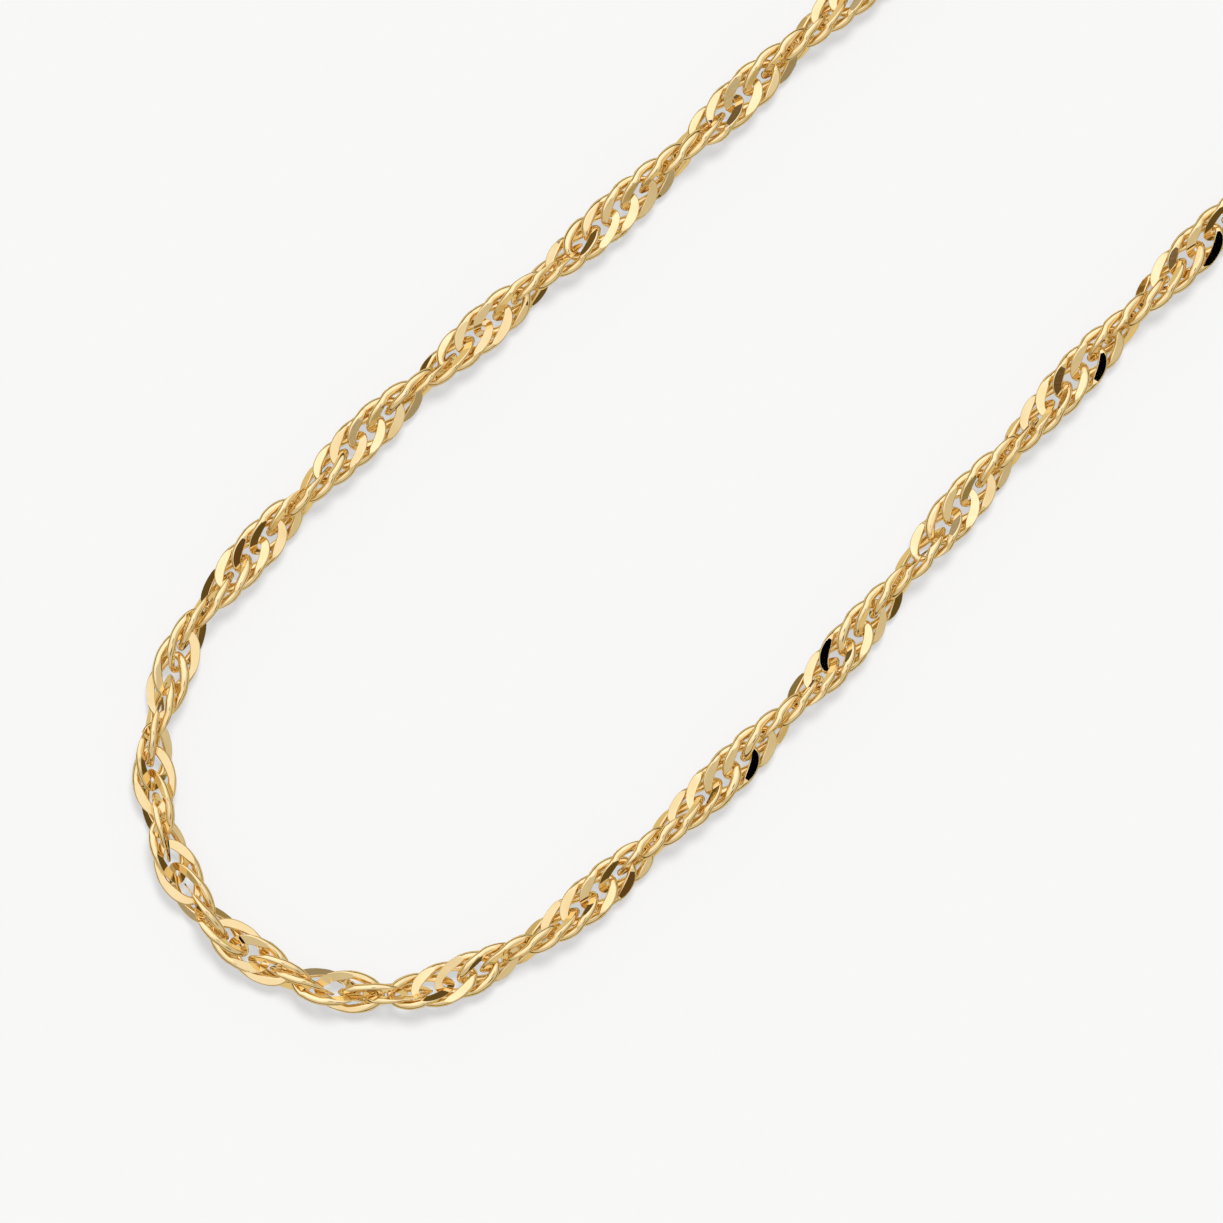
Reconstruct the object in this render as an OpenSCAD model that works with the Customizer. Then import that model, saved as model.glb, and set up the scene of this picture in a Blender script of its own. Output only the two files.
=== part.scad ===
// Singapore chain necklace: a fine twisted ribbon of double-linked curb links, laid out as one
// long open loop on a flat surface and closed by a spring ring clasp at its far end.
// All lengths are in millimetres. X is across the loop, Y runs from its front bend to its clasp,
// Z is up, and the surface that it lies on is Z = 0.

/* [Chain] */
// Width of the ribbon of links, seen flat on
chain_w = 2.4; // [2.2:0.1:3]
// Thickness of the ribbon, seen edge on
chain_t = 1.05; // [0.8:0.05:1.3]
// Length over which a straight stretch turns by half a turn
half_twist = 9; // [7:0.5:12]
// Spacing of the sections along the ribbon
section_step = 1.5; // [1.3:0.1:2]

/* [End links] */
// Thickness of a link's wire
link_wire = 0.5; // [0.4:0.05:0.55]
// Outer length of a link
link_l = 3.5; // [3.4:0.1:4.5]
// Free way between a ring and the round end of the link that it pulls
link_gap = 0.5; // [0.4:0.05:0.6]

/* [Rings] */
// Thickness of the wire of the jump ring and the catch ring
ring_wire = 0.5; // [0.4:0.05:0.5]
// Free way inside a ring beside the two wires that it joins
ring_play = 0.9; // [0.8:0.1:1.4]
// Lean of the rings from lying flat
ring_lean = 72; // [70:1:80]

/* [Clasp] */
// Outer diameter of the clasp's round body
clasp_d = 6; // [5.6:0.1:8]
// Thickness of the body's tube
clasp_tube = 1.3; // [1.1:0.05:1.35]
// Thickness of the spring gate that closes the body
gate_wire = 0.9; // [0.7:0.05:1]
// Arc that the gate fills
gate_arc = 50; // [30:5:70]
// Thickness of the wire of the clasp's eye
eye_wire = 0.5; // [0.4:0.05:0.6]
// Free way inside the eye beside the jump ring's wire
eye_play = 1.1; // [1:0.1:1.6]
// Free way between a ring and the round wall that it pulls
hook_gap = 0.25; // [0.2:0.05:0.3]
// Diameter of the trigger's round head
knob_d = 1.1; // [0.9:0.1:1.2]
// Height of the trigger's head above the body
knob_h = 0.9; // [0.8:0.1:1.4]

/* [Hidden] */
$fn = 64;

gold = [0.86, 0.67, 0.36];

// Middle of the loop's length, which is the origin
mid_y = 106.2;
// Line across the far end on which the clasp and its rings lie
clasp_y = 209.6;
// Side shift of the clasp's body that centres the whole fastening
clasp_x = 1.2;

// Route of the ribbon, from the clasp's eye side round the front bend to its catch side.
// The middle rows follow the loose U of the front. The rest is the plain way round.
ROUTE = [
    [-13.5, 206.3], [-17, 198], [-17.6, 186], [-16.6, 168], [-15, 149],
    [-13.2, 129], [-11.8, 109], [-10.9, 89], [-10.7, 71], [-11.2, 56.5],
    [-11.2, 43], [-11.6, 29.6], [-11.7, 22.8], [-11.3, 16.1], [-10.3, 9.5],
    [-6.9, 3.8], [-1.1, 0.5], [5.5, 0.8], [10.9, 4.6], [13.6, 10.7],
    [14.3, 17.4], [14.1, 30.9], [12.4, 44.3], [11.2, 57.7], [10.8, 71],
    [11, 89], [11.8, 109], [13.2, 129], [15, 149], [16.6, 168],
    [17.6, 186], [17, 198], [13.5, 206.3]
];
// Row of the route's list nearest to the first edge-on place of the front stretch, and how far
// past that row it lies, as a share of half_twist
FIRST_EDGE_ROW = 10;
FIRST_EDGE_SHIFT = 0.24;
// Spacing of the edge-on places along the front stretch, as shares of half_twist
EDGE_SPANS = [
    0.96, 1.08, 0.91, 0.98, 0.92, 0.73, 0.57, 0.58,
    0.69, 0.48, 0.90, 0.99, 1.08, 1.02, 0.99, 1.09
];

// Height of the ribbon's middle line: it stands on its edges where it is edge on
chain_z = chain_w / 2;

// The clasp's body and eye, the two rings and the end links, in a row along X
body_r = (clasp_d - clasp_tube) / 2;
eye_r = (ring_wire + eye_play + eye_wire) / 2;
jump_r = (eye_wire + link_wire + ring_play + ring_wire) / 2;
catch_r = (clasp_tube + link_wire + ring_play + ring_wire) / 2;
bow_r = (chain_w - link_wire) / 2;
bow_l = (link_l - link_wire) / 2;
// How deep the eye's wire is sunk into the body's tube
eye_seat = 0.1;
eye_x = clasp_x - clasp_d / 2 - eye_r + eye_seat;
jump_x = eye_x - eye_r + eye_wire / 2 + hook_gap + ring_wire / 2 - jump_r;
catch_x = clasp_x + clasp_d / 2 - clasp_tube - hook_gap - ring_wire / 2 + catch_r;
left_apex_x = jump_x - jump_r + ring_wire / 2 + link_gap + link_wire / 2;
right_apex_x = catch_x + catch_r - ring_wire / 2 - link_gap - link_wire / 2;
left_end_x = left_apex_x - bow_l;
right_end_x = right_apex_x + bow_l;
// A ring leans with its lowest point on the surface, and the two rings carry the clasp
jump_z = jump_r * sin(ring_lean) + ring_wire / 2;
catch_z = catch_r * sin(ring_lean) + ring_wire / 2;
clasp_z = (jump_z + catch_z) / 2;

// Middle of the spring gate and of the trigger, as angles round the body
gate_mid = 60;
knob_at = 112;
// Thickness of the trigger's stem, as a share of its head
stem_share = 0.6;

// The whole route, with the ribbon's two ends placed by the fastening
PATH = concat([[left_end_x, clasp_y]], ROUTE, [[right_end_x, clasp_y]]);
LAST = len(PATH) - 1;

// Running length at each point of a list
function runs(p) =
    [for (i = 0, s = 0; i < len(p); i = i + 1, s = i < len(p) ? s + norm(p[i] - p[i - 1]) : s) s];

PATH_RUN = runs(PATH);

// Direction of the route at one of its points. At both ends it lies along X.
function heading(i) =
    i == 0 || i == LAST ? [-1, 0]
    : (PATH[i + 1] - PATH[i - 1]) / (PATH_RUN[i + 1] - PATH_RUN[i - 1]);

// Point and direction on the smooth curve from point i of the route to the next, at share u
function spot(i, u) =
    let (h = PATH_RUN[i + 1] - PATH_RUN[i], v = 1 - u)
    v * v * (1 + 2 * u) * PATH[i] + u * v * v * h * heading(i)
    + u * u * (3 - 2 * u) * PATH[i + 1] - u * u * v * h * heading(i + 1);
function along(i, u) =
    let (h = PATH_RUN[i + 1] - PATH_RUN[i])
    6 * u * (u - 1) * (PATH[i] - PATH[i + 1]) / h
    + (1 - 4 * u + 3 * u * u) * heading(i) + (3 * u * u - 2 * u) * heading(i + 1);

// Places of the ribbon's sections: the route's row, and the share of the way to the next one
function steps(i) = max(1, round((PATH_RUN[i + 1] - PATH_RUN[i]) / section_step));
STATIONS = concat([for (i = [0 : LAST - 1], k = [0 : steps(i) - 1]) [i, k / steps(i)]], [[LAST - 1, 1]]);
CENTRES = [for (s = STATIONS) spot(s[0], s[1])];
CENTRE_RUN = runs(CENTRES);
TOTAL = CENTRE_RUN[len(CENTRE_RUN) - 1];

// Running length of the front stretch's first edge-on place
FIRST_EDGE = [for (k = [0 : len(STATIONS) - 1]) if (STATIONS[k] == [FIRST_EDGE_ROW, 0]) CENTRE_RUN[k]][0]
    + FIRST_EDGE_SHIFT * half_twist;

// Half turns counted from that place. The hidden stretches end flat, so that the end links lie flat.
EDGES = [for (
    i = 0, s = FIRST_EDGE;
    i <= len(EDGE_SPANS);
    s = i < len(EDGE_SPANS) ? s + EDGE_SPANS[i] * half_twist : s, i = i + 1
) [s, i]];
LAST_EDGE = EDGES[len(EDGES) - 1];
TURNS = concat(
    [[0, -0.5 - round(FIRST_EDGE / half_twist - 0.5)]],
    EDGES,
    [[TOTAL, LAST_EDGE[1] + 0.5 + round((TOTAL - LAST_EDGE[0]) / half_twist - 0.5)]]
);
function turn_angle(run) = 90 + 180 * lookup(run, TURNS);

// Outline of the ribbon across its run, as shares of half its width and half its thickness
SECTION = [[1, 0], [0.75, 0.85], [0, 1], [-0.75, 0.85], [-1, 0], [-0.75, -0.85], [0, -1], [0.75, -0.85]];
SIDES = len(SECTION);

// Corners of one section: the ribbon's flat turns from the side vector towards up
function section(k) =
    let (
        d = along(STATIONS[k][0], STATIONS[k][1]),
        side = [-d[1], d[0], 0] / norm(d),
        a = turn_angle(CENTRE_RUN[k]),
        flat = side * cos(a) + [0, 0, sin(a)],
        edge = -side * sin(a) + [0, 0, cos(a)],
        c = [CENTRES[k][0], CENTRES[k][1], chain_z]
    )
    [for (q = SECTION) c + flat * q[0] * chain_w / 2 + edge * q[1] * chain_t / 2];

module lay() {
    translate([0, -mid_y, 0]) children();
}

module place_in_row(x, z) {
    lay() translate([x, clasp_y, z]) children();
}

module wire_ring(r, wire, arc = 360) {
    rotate_extrude(angle = arc) translate([r, 0]) circle(d = wire);
}

module leaning_ring(r) {
    rotate([ring_lean, 0, 0]) wire_ring(r, ring_wire);
}

// Outer half of a link, open towards +X, with its round end's middle line at the origin
module link_bow() {
    translate([bow_r, 0, 0]) {
        rotate([0, 0, 90]) wire_ring(bow_r, link_wire, 180);
        for (side = [-1, 1])
            translate([0, side * bow_r, 0]) rotate([0, 90, 0]) cylinder(d = link_wire, h = bow_l - bow_r);
    }
}

module chain() {
    count = len(STATIONS);
    color(gold) lay() polyhedron(
        points = [for (k = [0 : count - 1]) each section(k)],
        faces = concat(
            [[for (j = [SIDES - 1 : -1 : 0]) j]],
            [for (k = [0 : count - 2], j = [0 : SIDES - 1])
                let (n = (j + 1) % SIDES, a = k * SIDES, b = a + SIDES)
                each [[a + j, a + n, b + j], [a + n, b + n, b + j]]],
            [[for (j = [0 : SIDES - 1]) (count - 1) * SIDES + j]]
        )
    );
}

module end_link_left() {
    color(gold) place_in_row(left_apex_x, chain_z) mirror([1, 0, 0]) link_bow();
}

module end_link_right() {
    color(gold) place_in_row(right_apex_x, chain_z) link_bow();
}

module jump_ring() {
    color(gold) place_in_row(jump_x, jump_z) leaning_ring(jump_r);
}

module catch_ring() {
    color(gold) place_in_row(catch_x, catch_z) leaning_ring(catch_r);
}

module clasp() {
    color(gold) place_in_row(clasp_x, clasp_z) {
        rotate([0, 0, gate_mid + gate_arc / 2]) wire_ring(body_r, clasp_tube, 360 - gate_arc);
        rotate([0, 0, gate_mid - gate_arc / 2 - 2]) wire_ring(body_r, gate_wire, gate_arc + 4);
        translate([eye_x - clasp_x, 0, 0]) wire_ring(eye_r, eye_wire);
        rotate([0, 0, knob_at]) translate([body_r, 0, 0]) {
            rotate([0, 90, 0]) cylinder(d = knob_d * stem_share, h = clasp_tube / 2 + knob_h - knob_d / 2);
            translate([clasp_tube / 2 + knob_h - knob_d / 2, 0, 0]) sphere(d = knob_d);
        }
    }
}

chain();
end_link_left();
end_link_right();
jump_ring();
clasp();
catch_ring();
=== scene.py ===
"""Looks of a singapore chain necklace: a twisted ribbon of double-linked curb links in polished gold,
lying as one long loop on a pale surface, seen from straight above its front bend."""

import math

import bpy
import numpy as np
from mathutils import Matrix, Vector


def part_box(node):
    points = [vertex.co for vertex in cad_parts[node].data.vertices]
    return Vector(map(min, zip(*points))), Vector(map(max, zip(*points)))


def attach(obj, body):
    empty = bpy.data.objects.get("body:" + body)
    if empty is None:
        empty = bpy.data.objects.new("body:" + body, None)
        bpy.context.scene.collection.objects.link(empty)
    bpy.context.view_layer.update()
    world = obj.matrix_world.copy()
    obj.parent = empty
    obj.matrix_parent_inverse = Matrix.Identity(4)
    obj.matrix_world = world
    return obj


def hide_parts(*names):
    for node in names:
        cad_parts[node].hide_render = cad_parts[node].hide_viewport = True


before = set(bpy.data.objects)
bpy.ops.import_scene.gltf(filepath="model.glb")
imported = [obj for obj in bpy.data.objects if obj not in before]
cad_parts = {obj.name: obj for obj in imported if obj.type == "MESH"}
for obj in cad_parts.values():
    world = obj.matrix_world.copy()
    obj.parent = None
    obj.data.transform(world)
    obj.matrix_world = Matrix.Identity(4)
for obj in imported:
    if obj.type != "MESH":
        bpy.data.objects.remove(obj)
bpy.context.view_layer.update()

MM = 0.001

# The chain's route in metres, and its twist: where the ribbon stands on edge along the route, first as a row of
# the path and then as spans in half twists, all as the frame has them
MID_Y = 106.2 * MM
CLASP_Y = 209.6 * MM
CHAIN_W = 2.4 * MM
CHAIN_Z = CHAIN_W / 2
ROUTE = np.array([
    [-13.5, 206.3], [-17, 198], [-17.6, 186], [-16.6, 168], [-15, 149],
    [-13.2, 129], [-11.8, 109], [-10.9, 89], [-10.7, 71], [-11.2, 56.5],
    [-11.2, 43], [-11.6, 29.6], [-11.7, 22.8], [-11.3, 16.1], [-10.3, 9.5],
    [-6.9, 3.8], [-1.1, 0.5], [5.5, 0.8], [10.9, 4.6], [13.6, 10.7],
    [14.3, 17.4], [14.1, 30.9], [12.4, 44.3], [11.2, 57.7], [10.8, 71],
    [11, 89], [11.8, 109], [13.2, 129], [15, 149], [16.6, 168],
    [17.6, 186], [17, 198], [13.5, 206.3],
]) * MM
HALF_TWIST = 9.0 * MM
FIRST_EDGE_ROW = 10
FIRST_EDGE_SHIFT = 0.24
EDGE_SPANS = [
    0.96, 1.08, 0.91, 0.98, 0.92, 0.73, 0.57, 0.58,
    0.69, 0.48, 0.90, 0.99, 1.08, 1.02, 0.99, 1.09,
]

# How many points the smooth route has between two of its own, and how far its direction looks ahead and behind
ROUTE_STEPS = 60
LOOK_AHEAD = 0.3 * MM

# Links: their distance, half length and half width of the wire's middle line, half thickness of the wire and
# of its stouter arms, bend of the middle line, how much wider the arms are outward, and the wave's height and
# form
PITCH = 1.27 * MM
LINK_A = 1.58 * MM
LINK_B = 0.95 * MM
WIRE_R = 0.22 * MM
ARM_R = 0.255 * MM
ARM_BEND = (1.4, 1.1)
ARM_WIDE = 0.15
WAVE_H = 0.20 * MM
WAVE_FLAT = 1.2
# Links in a tightly turned stretch are longer and flatter: turn from link to link where that starts and ends,
# and their half length and wave there
CALM_TURN = math.radians(24)
TIGHT_TURN = math.radians(34)
TIGHT_A = 1.66 * MM
TIGHT_WAVE = 0.06 * MM
# The two end ovals are as long and flat as that and rounder, and a ring's wire has room between them and the
# next link
END_IN = 0.20 * MM
END_ROOM = 1.45 * MM
END_BEND = (1.0, 0.7)
END_TIGHT = 1.0
# The diamond-cut flats: depth of the cut below an arm's top, its slope, its bevel as an angle and as a share of
# its width, and the half angle under which the wire has no flat
CUT_DEPTH = 0.15 * MM
CUT_RISE = 0.10
CUT_BEVEL = math.radians(10)
CUT_INSET = 0.86
NO_CUT = math.radians(9)
# Places round a link, and corners of the wire's round side between two flats
TURNS_ROUND = 44
SIDE_CORNERS = 7

# Numbers of the links that start each piece of the chain
PIECE_STARTS = {
    "chain_links_back_left": 1,
    "chain_links_left": 70,
    "chain_links_front": 140,
    "chain_links_right": 212,
    "chain_links_back_right": 282,
}

# How far links stray from their place
STRAY_ROLL = math.radians(1.8)
STRAY_YAW = math.radians(1.1)
STRAY_CUT = 0.075
SEED = 7

# The photograph's frame: its width on the surface, its middle and its turn
VIEW_W = 64.37 * MM
VIEW_MID = (3.95 * MM, 26.63 * MM - MID_Y)
VIEW_TURN = math.radians(47)
CAMERA_UP = 0.62

# The studio's light by direction: colour all round, then patches laid over it one after another, each with
# its turn left of the photograph's top, its tilt from straight up, its soft edge in degrees and its colour
ROUND_COLOR = (0.69, 0.66, 0.57)
PATCHES = {
    "soft_box": (28, 34, (62, 47), (1.04, 1.02, 0.99)),
    "box_middle": (28, 37, (38, 22), (1.24, 1.23, 1.28)),
    "dark_card": (215, 36, (10, 7), (0.12, 0.07, 0.025)),
    "dark_gap": (225, 5, (7, 5.5), (0, 0, 0)),
}
# Rings of colour from the horizon down to straight below, by angle from straight up
RINGS = {
    "horizon": ((74, 84), (0.125, 0.085, 0.025)),
    "lit_table": ((96, 107), (0.76, 0.66, 0.395)),
    "shadow_below": ((146, 162), (0.085, 0.04, 0.008)),
}
# The key light that gives the floor its shadow: turn left of the photograph's top, tilt, size and strength
KEY_TURN = math.radians(-12)
KEY_TILT = math.radians(26)
KEY_SIZE = math.radians(18)
KEY_POWER = 7.6

# The floor: half its size, its colour, and the colour and strength of its glow
FLOOR_HALF = 3.0
FLOOR_COLOR = (0.12, 0.12, 0.12)
GLOW_COLOR = (0.985, 0.985, 0.985)
FLOOR_GLOW = 0.583

# Golds by slot: their colour, lowest roughness and how much wear adds to it
GOLDS = {
    "chain_gold": ((0.965, 0.775, 0.46), 0.012, 0.03),
    "ring_gold": ((0.97, 0.76, 0.45), 0.05, 0.07),
    "clasp_gold": ((0.97, 0.765, 0.455), 0.04, 0.07),
}
# Their faint darker tone as a share of the colour, and the noise that spreads it, the wear and the fine grain
DARK_SHARE = (0.93, 0.89, 0.78)
TONE_EDGES = (0.3, 0.7)
TONE_NOISE = (900, 3)
WEAR_NOISE = (2600, 4)
GRAIN_NOISE = (6000, 2)
GRAIN_STRENGTH = 0.05
GRAIN_DEPTH = 0.01 * MM


def running(points):
    """Running length at each point of a list."""
    steps = np.linalg.norm(np.diff(points, axis=0), axis=1)
    return np.concatenate([[0.0], np.cumsum(steps)])


def end_points():
    """Middle of the chain's two end faces, where the end links' feet stand."""
    left_lo, left_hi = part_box("end_link_left")
    right_lo, right_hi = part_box("end_link_right")
    return np.array([left_lo.x, CLASP_Y]), np.array([right_hi.x, CLASP_Y])


class Route:
    """The smooth middle line of the ribbon, and its turn about that line."""

    def __init__(self):
        left, right = end_points()
        path = np.vstack([left, ROUTE, right])
        run = running(path)
        heading = np.empty_like(path)
        heading[1:-1] = (path[2:] - path[:-2]) / (run[2:] - run[:-2])[:, None]
        heading[[0, -1]] = (-1.0, 0.0)
        u = np.linspace(0, 1, ROUTE_STEPS, endpoint=False)[:, None]
        points = []
        for i in range(len(path) - 1):
            h = run[i + 1] - run[i]
            points.append(
                (1 - u) ** 2 * (1 + 2 * u) * path[i]
                + u * (1 - u) ** 2 * h * heading[i]
                + u ** 2 * (3 - 2 * u) * path[i + 1]
                - u ** 2 * (1 - u) * h * heading[i + 1]
            )
        points.append(path[-1:])
        self.points = np.vstack(points)
        self.run = running(self.points)
        self.total = self.run[-1]
        first = self.run[FIRST_EDGE_ROW * ROUTE_STEPS] + FIRST_EDGE_SHIFT * HALF_TWIST
        edges = first + np.concatenate([[0], np.cumsum(EDGE_SPANS)]) * HALF_TWIST
        last = len(EDGE_SPANS)
        before = round(first / HALF_TWIST - 0.5) + 0.5
        after = round((self.total - edges[-1]) / HALF_TWIST - 0.5) + 0.5
        self.edge_run = np.concatenate([[0], edges, [self.total]])
        self.edge_turn = np.concatenate([[-before], np.arange(last + 1), [last + after]])

    def at(self, run):
        """Middle, direction, side and turn angle at running lengths."""
        spot = np.stack([np.interp(run, self.run, self.points[:, k]) for k in (0, 1)], axis=-1)
        ahead = np.clip(run + LOOK_AHEAD, 0, self.total)
        behind = np.clip(run - LOOK_AHEAD, 0, self.total)
        step = np.stack(
            [np.interp(ahead, self.run, self.points[:, k]) - np.interp(behind, self.run, self.points[:, k])
             for k in (0, 1)], axis=-1)
        step /= np.linalg.norm(step, axis=-1, keepdims=True)
        zero = np.zeros(len(run))
        middle = np.stack([spot[:, 0], spot[:, 1] - MID_Y, zero + CHAIN_Z], axis=-1)
        forward = np.stack([step[:, 0], step[:, 1], zero], axis=-1)
        side = np.stack([-step[:, 1], step[:, 0], zero], axis=-1)
        turn = math.pi * (0.5 + np.interp(run, self.edge_run, self.edge_turn))
        return middle, forward, side, turn


def unit(v):
    return v / np.linalg.norm(v, axis=-1, keepdims=True)


def link_points(rng, tight, bend):
    """Corners of links in their own frame, as an array (link, place round, corner, xyz), by how tightly each
    one's stretch is turned, from 0 to 1, and the bend of its wire.
    Each link is an oval of round wire, stouter, straighter and wider outward in its four arms, high in two
    of them and low in the two between, and both its faces are cut flat across their high arms.
    The second result says where a cut meets the wire, by face."""
    t = np.linspace(0, 2 * math.pi, TURNS_ROUND, endpoint=False)[None, :]
    tight, bend = tight[:, None], bend[:, :, None]
    wave = WAVE_H + tight * (TIGHT_WAVE - WAVE_H)
    half_length = LINK_A + tight * (TIGHT_A - LINK_A)
    one = np.ones_like(tight)
    swing = np.sin(2 * t)
    swing_flat = swing * math.hypot(1, WAVE_FLAT) / np.hypot(swing, WAVE_FLAT)
    radius = WIRE_R + (ARM_R - WIRE_R) * swing ** 2
    centre = np.stack([
        half_length * np.sign(np.cos(t)) * np.abs(np.cos(t)) ** bend[0],
        one * LINK_B * np.sign(np.sin(t)) * np.abs(np.sin(t)) ** bend[1],
        -wave * swing_flat,
    ], -1)
    tangent = unit(np.roll(centre, -1, axis=1) - np.roll(centre, 1, axis=1))
    arm_y = LINK_B * math.sin(math.pi / 4) ** bend[1]

    def cut(face, upper_arm):
        """Half angle and direction of the flat on one face, from its cutting plane."""
        lean = np.where(upper_arm, CUT_RISE, -CUT_RISE) * face
        rise_y = lean + rng.normal(0, STRAY_CUT, wave.shape)
        rise_x = rng.normal(0, STRAY_CUT, wave.shape) + 0 * rise_y
        normal = np.stack([-rise_x, -rise_y, np.ones_like(rise_y)], -1) * face
        height = face * (wave + ARM_R - CUT_DEPTH - CUT_RISE * arm_y)
        height = height + rise_x * centre[..., 0] + rise_y * centre[..., 1] - centre[..., 2]
        depth = height * face / np.linalg.norm(normal, axis=-1)
        normal = unit(normal)
        toward = unit(normal - (normal * tangent).sum(-1, keepdims=True) * tangent)
        share = depth / (radius * (normal * toward).sum(-1))
        half = np.arccos(np.clip(share, -1, 1))
        return np.maximum(half, NO_CUT), toward

    top_half, top = cut(1, np.sin(t - math.pi / 4) > 0)
    low_half, low = cut(-1, np.sin(t + math.pi / 4) > 0)
    across = np.cross(tangent, top)
    low_across = np.cross(tangent, low)
    low_angle = np.mod(np.arctan2((low * across).sum(-1), (low * top).sum(-1)), 2 * math.pi)

    outward = 1 + ARM_WIDE * swing ** 2

    def rim(half, middle, beside, reach):
        """Corner at one side of a flat, a bevel's width in from where the cut leaves the wire."""
        level, reach = np.cos(half)[..., None], (CUT_INSET * reach * np.sin(half))[..., None]
        return radius[..., None] * (level * middle + reach * beside)

    def arc(start, end, reach):
        angle = (start + np.linspace(0, 1, SIDE_CORNERS)[:, None, None] * (end - start))[..., None]
        return list(radius[..., None] * (np.cos(angle) * top + reach[..., None] * np.sin(angle) * across))

    around = [rim(top_half, top, across, outward)]
    around += arc(top_half + CUT_BEVEL, low_angle - low_half - CUT_BEVEL, outward)
    around += [rim(low_half, low, low_across, -outward), rim(low_half, low, low_across, 1)]
    around += arc(low_angle + low_half + CUT_BEVEL, 2 * math.pi - top_half - CUT_BEVEL, one)
    around += [rim(top_half, top, across, -1)]
    flat = np.stack([top_half, low_half], -1) > NO_CUT
    return centre[:, :, None] + np.stack(around, 2), flat


def link_runs(route):
    """Running length of each link's middle, evenly spaced but for the ring's room beside the two end ovals."""
    count = 1 + round(route.total / PITCH)
    inner = np.linspace(END_IN + END_ROOM, route.total - END_IN - END_ROOM, count - 2)
    return np.concatenate([[END_IN], inner, [route.total - END_IN]])


def placed_links(route, runs, first, last):
    """Corners of links first to last - 1, each set in its place along the ribbon, and their flats."""
    rng = np.random.default_rng(SEED + first)
    number = np.arange(first, last)
    run = runs[number]
    end = (number == 0) | (number == len(runs) - 1)
    middle, forward, side, turn = route.at(run)
    twist = route.at(np.minimum(run + PITCH, route.total))[3] - route.at(np.maximum(run - PITCH, 0))[3]
    tight = np.where(end, END_TIGHT, np.interp(twist / 2, [CALM_TURN, TIGHT_TURN], [0, 1]))
    bend = np.where(end, np.array(END_BEND)[:, None], np.array(ARM_BEND)[:, None])
    turn = turn + rng.normal(0, STRAY_ROLL, len(number))
    yaw = rng.normal(0, STRAY_YAW, len(number))
    up = np.array([0.0, 0.0, 1.0])
    width = side * np.cos(turn)[:, None] + up * np.sin(turn)[:, None]
    thick = -side * np.sin(turn)[:, None] + up * np.cos(turn)[:, None]
    along = forward * np.cos(yaw)[:, None] + thick * np.sin(yaw)[:, None]
    thick = np.cross(along, width)
    corners, flat = link_points(rng, tight, bend)
    axes = np.stack([along, width, thick], 1)
    return np.einsum("ktcj,kjx->ktcx", corners, axes) + middle[:, None, None], flat


def link_faces(count, corners):
    """Four-sided faces that close each link's wire, for count links one after another."""
    t, c = np.meshgrid(np.arange(TURNS_ROUND), np.arange(corners), indexing="ij")
    t2, c2 = (t + 1) % TURNS_ROUND, (c + 1) % corners
    one = np.stack([t * corners + c, t * corners + c2, t2 * corners + c2, t2 * corners + c], -1).reshape(-1, 4)
    return (one[None] + (np.arange(count) * TURNS_ROUND * corners)[:, None, None]).reshape(-1, 4)


def links_object(name, placed, material):
    """Mesh of placed links, smooth round the wire and flat on the cuts."""
    points, flat = placed
    count, corners = len(points), points.shape[2]
    mesh = bpy.data.meshes.new(name)
    mesh.from_pydata(points.reshape(-1, 3).tolist(), [], link_faces(count, corners).tolist())
    smooth = np.ones((count, TURNS_ROUND, corners), bool)
    cut_here = flat | np.roll(flat, -1, axis=1)
    smooth[:, :, corners - 1] = ~cut_here[..., 0]
    smooth[:, :, SIDE_CORNERS + 1] = ~cut_here[..., 1]
    mesh.polygons.foreach_set("use_smooth", smooth.ravel())
    mesh.materials.append(material)
    obj = bpy.data.objects.new(name, mesh)
    bpy.context.scene.collection.objects.link(obj)
    return obj


def gold(name):
    """Polished gold with faint tone changes, a fine grain and a little wear."""
    color, roughness, wear = GOLDS[name]
    mat = bpy.data.materials.new(name)
    mat.use_nodes = True
    nodes, links = mat.node_tree.nodes, mat.node_tree.links
    shader = nodes["Principled BSDF"]
    shader.inputs["Metallic"].default_value = 1.0
    place = nodes.new("ShaderNodeTexCoord")

    def noise(scale, detail):
        node = nodes.new("ShaderNodeTexNoise")
        node.inputs["Scale"].default_value = scale
        node.inputs["Detail"].default_value = detail
        links.new(place.outputs["Object"], node.inputs["Vector"])
        return node.outputs["Fac"]

    ramp = nodes.new("ShaderNodeValToRGB")
    dark, bright = ramp.color_ramp.elements
    dark.position, bright.position = TONE_EDGES
    dark.color = (*(c * share for c, share in zip(color, DARK_SHARE)), 1)
    bright.color = (*color, 1)
    links.new(noise(*TONE_NOISE), ramp.inputs["Fac"])
    links.new(ramp.outputs["Color"], shader.inputs["Base Color"])

    rough = nodes.new("ShaderNodeMapRange")
    rough.inputs["To Min"].default_value = roughness
    rough.inputs["To Max"].default_value = roughness + wear
    links.new(noise(*WEAR_NOISE), rough.inputs["Value"])
    links.new(rough.outputs["Result"], shader.inputs["Roughness"])

    bump = nodes.new("ShaderNodeBump")
    bump.inputs["Strength"].default_value = GRAIN_STRENGTH
    bump.inputs["Distance"].default_value = GRAIN_DEPTH
    links.new(noise(*GRAIN_NOISE), bump.inputs["Height"])
    links.new(bump.outputs["Normal"], shader.inputs["Normal"])
    return mat


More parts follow.
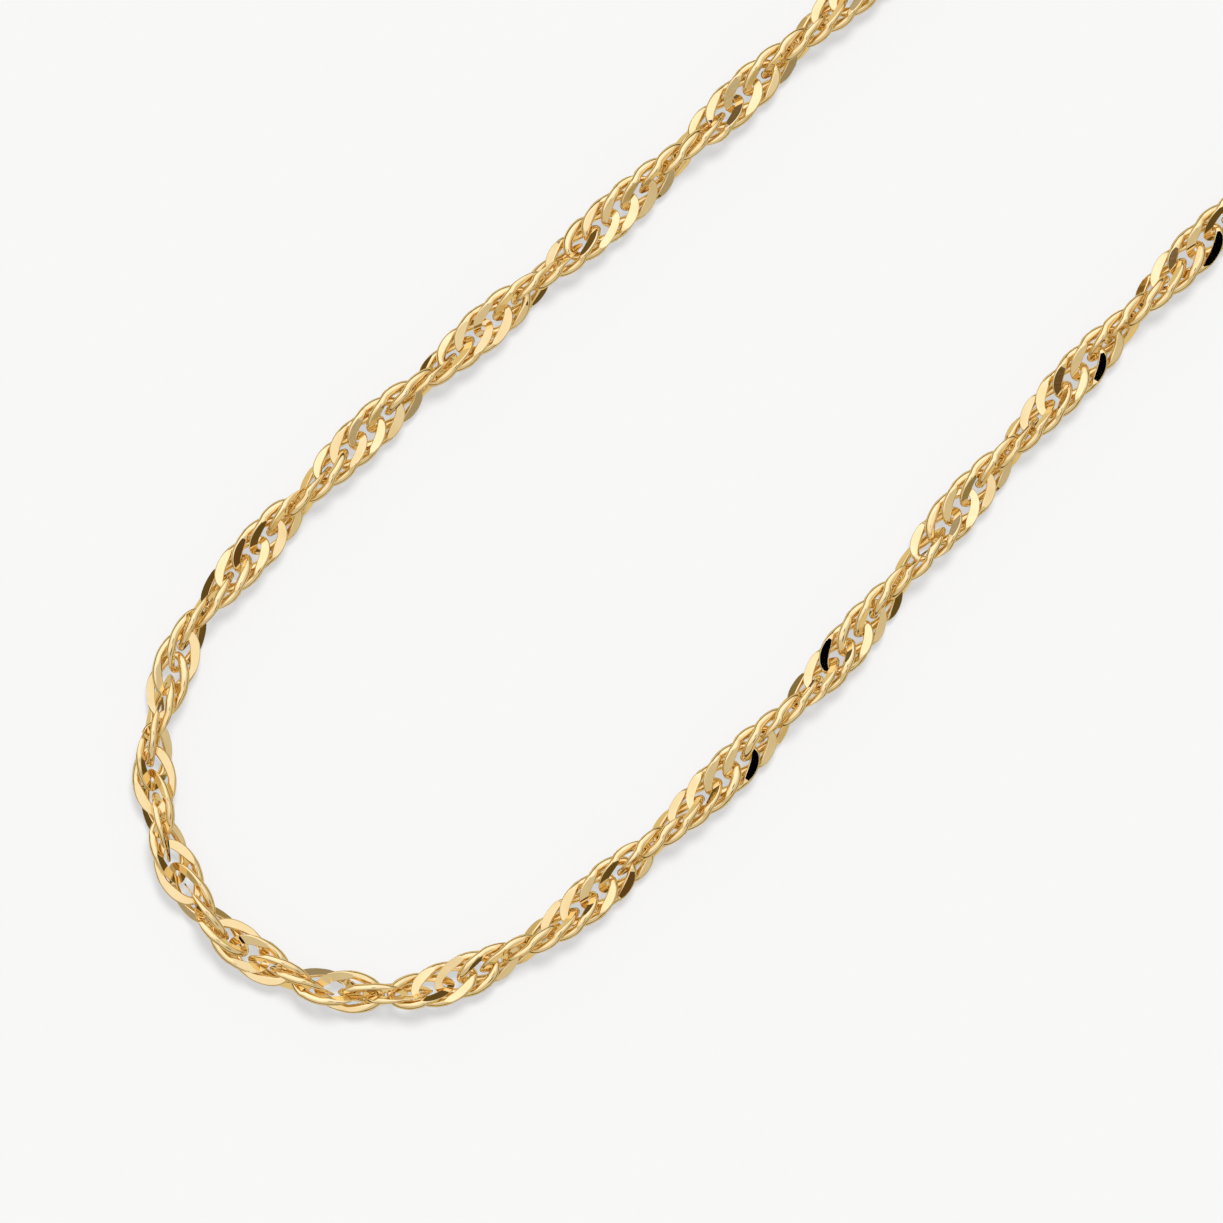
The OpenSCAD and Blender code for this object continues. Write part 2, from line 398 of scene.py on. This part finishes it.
def floor_material():
    """Matt pale surface with light of its own, as a lit table has."""
    mat = bpy.data.materials.new("pale_surface")
    mat.use_nodes = True
    shader = mat.node_tree.nodes["Principled BSDF"]
    shader.inputs["Base Color"].default_value = (*FLOOR_COLOR, 1)
    shader.inputs["Roughness"].default_value = 0.9
    shader.inputs["Specular IOR Level"].default_value = 0.1
    shader.inputs["Emission Color"].default_value = (*GLOW_COLOR, 1)
    shader.inputs["Emission Strength"].default_value = FLOOR_GLOW
    return mat


def make_floor():
    """The pale surface that the chain lies on, which the metal doesn't mirror."""
    mesh = bpy.data.meshes.new("floor")
    sides = ((-1, -1), (1, -1), (1, 1), (-1, 1))
    mesh.from_pydata([(x * FLOOR_HALF, y * FLOOR_HALF, 0) for x, y in sides], [], [(0, 1, 2, 3)])
    mesh.materials.append(floor_material())
    floor = bpy.data.objects.new("floor", mesh)
    bpy.context.scene.collection.objects.link(floor)
    floor.visible_glossy = False


def make_light():
    """Soft studio light all round: a large soft box on the photograph's upper left, a dark card and a dark gap
    on the other side, a dim horizon, below it the tan and dark tones that the metal mirrors in place of the
    floor, and a key light that the metal doesn't mirror."""
    world = bpy.data.worlds.new("studio")
    bpy.context.scene.world = world
    world.use_nodes = True
    nodes, links = world.node_tree.nodes, world.node_tree.links
    place = nodes.new("ShaderNodeTexCoord")
    light = nodes.new("ShaderNodeRGB").outputs["Color"]
    light.default_value = (*ROUND_COLOR, 1)

    def lay_over(light, axis, edge, color):
        """Light with a colour laid over it as the direction comes from the first to the second angle of edge
        to an axis."""
        dot = nodes.new("ShaderNodeVectorMath")
        dot.operation = "DOT_PRODUCT"
        links.new(place.outputs["Generated"], dot.inputs[0])
        dot.inputs[1].default_value = axis
        share = nodes.new("ShaderNodeMapRange")
        share.interpolation_type = "SMOOTHSTEP"
        share.inputs["From Min"].default_value = math.cos(math.radians(edge[0]))
        share.inputs["From Max"].default_value = math.cos(math.radians(edge[1]))
        links.new(dot.outputs["Value"], share.inputs["Value"])
        mix = nodes.new("ShaderNodeMix")
        mix.data_type = "RGBA"
        factor, before, after = (mix.inputs[k] for k in (0, 6, 7))
        links.new(share.outputs["Result"], factor)
        links.new(light, before)
        after.default_value = (*color, 1)
        return mix.outputs[2]

    for turn, tilt, edge, color in PATCHES.values():
        heading = math.radians(turn) + VIEW_TURN + math.pi / 2
        flat, up = math.sin(math.radians(tilt)), math.cos(math.radians(tilt))
        light = lay_over(light, (math.cos(heading) * flat, math.sin(heading) * flat, up), edge, color)
    for edge, color in RINGS.values():
        light = lay_over(light, (0, 0, -1), [180 - angle for angle in edge], color)
    links.new(light, nodes["Background"].inputs["Color"])

    lamp = bpy.data.lights.new("key_light", "SUN")
    lamp.energy = KEY_POWER
    lamp.angle = KEY_SIZE
    key = bpy.data.objects.new("key_light", lamp)
    key.rotation_euler = (KEY_TILT, 0, KEY_TURN + VIEW_TURN + math.pi)
    key.visible_glossy = False
    bpy.context.scene.collection.objects.link(key)


def make_camera():
    """Camera straight above the front bend, at the photograph's turn."""
    camera = bpy.data.cameras.new("camera")
    camera.sensor_width = 36
    camera.lens = camera.sensor_width * (CAMERA_UP - CHAIN_Z) / VIEW_W
    camera.clip_start = 0.01
    camera.clip_end = 10
    obj = bpy.data.objects.new("camera", camera)
    bpy.context.scene.collection.objects.link(obj)
    obj.location = (*VIEW_MID, CAMERA_UP)
    obj.rotation_euler = (0, 0, VIEW_TURN)
    bpy.context.scene.camera = obj


def dress(node, material):
    """Give a solid of the frame its material."""
    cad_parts[node].data.materials.clear()
    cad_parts[node].data.materials.append(material)


def make_chain(route, material):
    """The chain's links as five pieces in place of its ribbon, and an oval in place of each end link."""
    runs = link_runs(route)
    end = len(runs) - 1
    starts = list(PIECE_STARTS.values())
    for name, first, last in zip(PIECE_STARTS, starts, [*starts[1:], end]):
        piece = links_object(name, placed_links(route, runs, first, last), material)
        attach(piece, "root")
        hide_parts("chain")
    for node, number in (("end_link_left", 0), ("end_link_right", end)):
        piece = links_object(node + "_oval", placed_links(route, runs, number, number + 1), material)
        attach(piece, "root")
        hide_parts(node)


make_camera()
make_light()
make_floor()
make_chain(Route(), gold("chain_gold"))
ring_gold = gold("ring_gold")
for ring in ("jump_ring", "catch_ring"):
    dress(ring, ring_gold)
dress("clasp", gold("clasp_gold"))
bpy.context.scene.view_settings.view_transform = "Standard"
